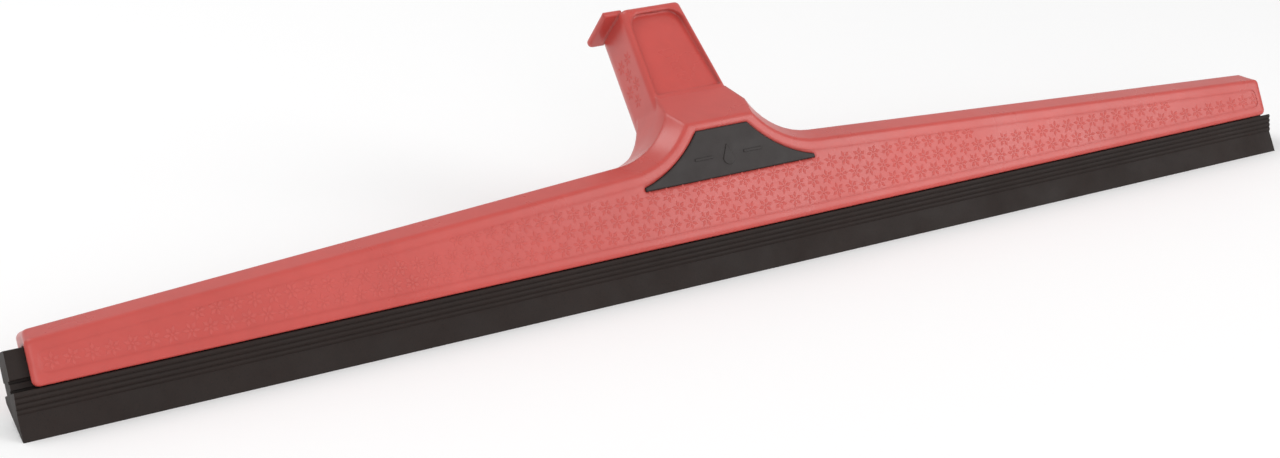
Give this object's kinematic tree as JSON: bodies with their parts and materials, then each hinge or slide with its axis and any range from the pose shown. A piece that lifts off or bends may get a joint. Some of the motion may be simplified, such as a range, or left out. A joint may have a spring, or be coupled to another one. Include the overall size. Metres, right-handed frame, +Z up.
{
  "type": "floor squeegee head",
  "caption": "Wide floor squeegee head: tapered moulded beam with a tilted handle socket and hanging tab, a badge, and a slide-in cellular rubber blade with a flexing lip.",
  "frame": {"origin": "on the floor, in the middle of the wiping facet's width, at the middle of the beam", "axes": "+X along the wiping edge, to the right seen from the front; +Y rearwards, to the side the handle leans to; +Z up from the floor"},
  "size_m": [0.5582, 0.0971, 0.087],
  "materials": {
    "red_plastic": "satin moulded polypropylene, coral red",
    "badge_plastic": "matt moulded plastic, black",
    "blade_rubber": "matt cellular rubber, brown-black"
  },
  "bodies": {
    "body": {"body_moulding": "red_plastic", "badge_plate": "badge_plastic"},
    "blade": {"blade_root": "blade_rubber"},
    "lip": {"blade_lip": "blade_rubber"}
  },
  "joints": [
    {"name": "blade_slide", "type": "slide", "parent": "body", "child": "blade", "axis": [1, 0, 0], "range_m": [-0.56, 0.56]},
    {"name": "lip_flex", "type": "hinge", "parent": "blade", "child": "lip", "pos_m": [0, 0.00772, 0.00693], "axis": [1, 0, 0], "range_deg": [-20, 20], "stiffness_Nm_per_rad": 1.5}
  ]
}
